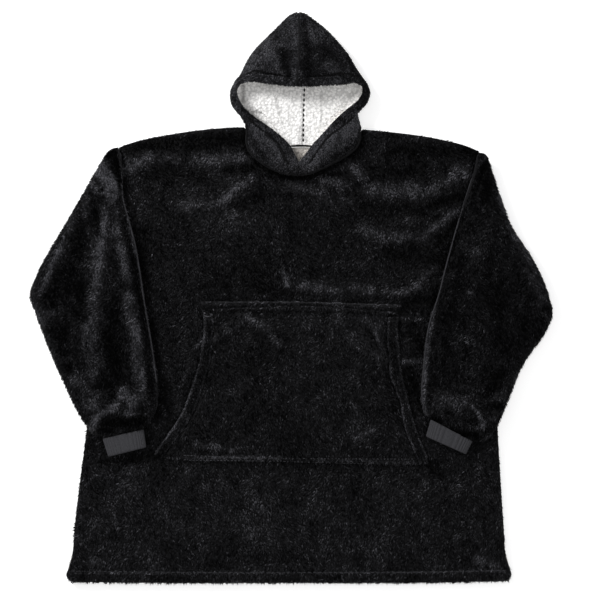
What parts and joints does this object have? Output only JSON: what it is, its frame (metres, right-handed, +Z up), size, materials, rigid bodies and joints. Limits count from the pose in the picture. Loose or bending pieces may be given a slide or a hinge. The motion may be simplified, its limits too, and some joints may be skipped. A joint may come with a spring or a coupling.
{
  "type": "wearable blanket hoodie",
  "caption": "Oversized plush wearable blanket with a fleece-lined hood, folded-over sleeves, ribbed cuffs and a large kangaroo pocket, laid flat.",
  "frame": {"origin": "centre of the bounding box at the floor, under the garment's back", "axes": "+Y from the hem to the tip of the hood, +Z up from the floor, out of the garment's front"},
  "size_m": [1.042, 1.1412, 0.0432],
  "materials": {
    "plush": "deep black crushed pile",
    "ribbed_knit": "charcoal ribbed knit",
    "sherpa": "off-white curly fleece"
  },
  "bodies": {
    "root": {"body_back": "plush", "body_front": "plush", "cuff_left": "ribbed_knit", "cuff_right": "ribbed_knit", "hood_left": "plush", "hood_lining_left": "sherpa", "hood_lining_right": "sherpa", "hood_right": "plush", "pocket": "plush", "pocket_binding_left": "plush", "pocket_binding_right": "plush", "sleeve_left": "plush", "sleeve_right": "plush"}
  },
  "joints": []
}
